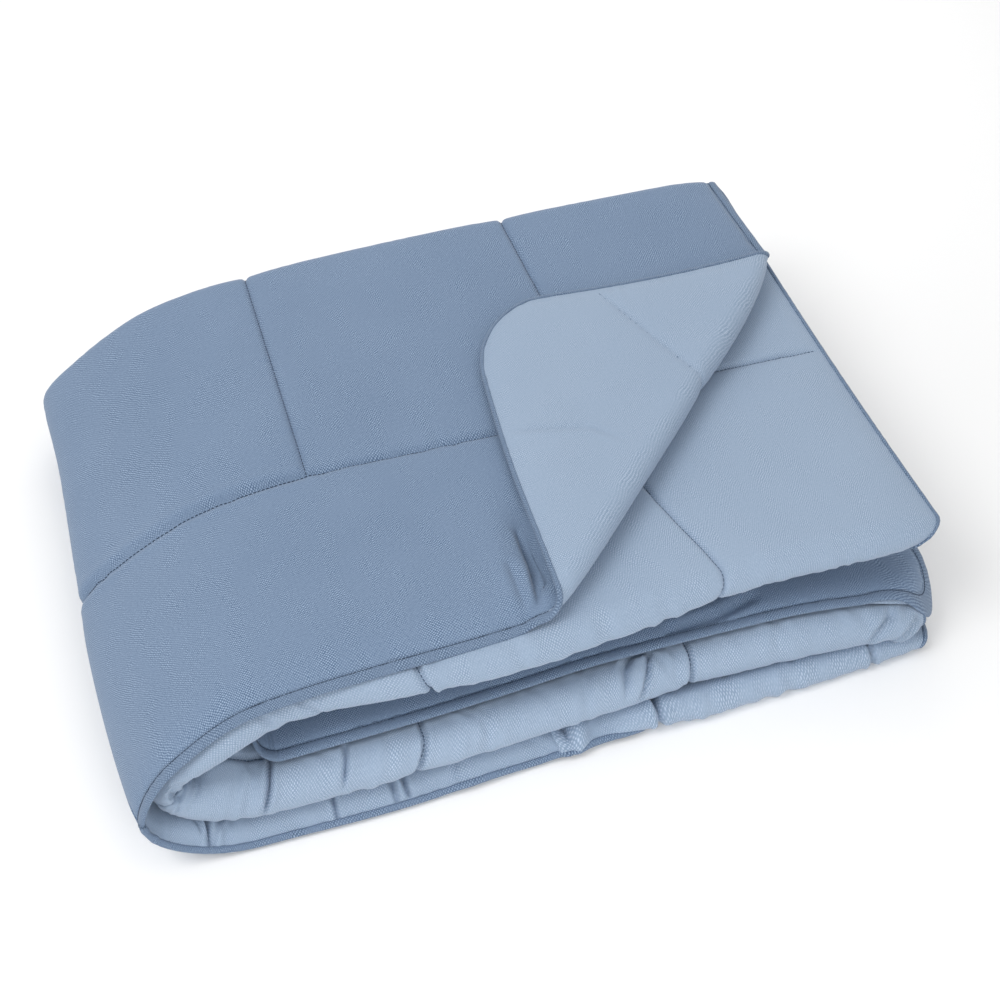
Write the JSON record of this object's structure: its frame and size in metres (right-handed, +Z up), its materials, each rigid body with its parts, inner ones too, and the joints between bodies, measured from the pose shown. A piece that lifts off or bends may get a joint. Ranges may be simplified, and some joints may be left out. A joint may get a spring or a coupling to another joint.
{
  "type": "folded quilt",
  "caption": "Padded two-tone quilt sewn in large squares and bound at its rounded edge, folded back and forth and then in half, with one top corner turned back to show the lighter reverse.",
  "frame": {"origin": "middle of the folded pack's box, on the surface that it lies on", "axes": "+X along the pack away from the half fold, +Y from the front edges to the back folds, +Z up"},
  "size_m": [0.7312, 0.5295, 0.1778],
  "materials": {
    "face": "matte woven cloth",
    "reverse": "matte woven cloth",
    "binding": "matte woven cloth"
  },
  "bodies": {
    "root": {"face_panel": "face", "reverse_panel": "reverse", "edge_binding": "binding"}
  },
  "joints": []
}
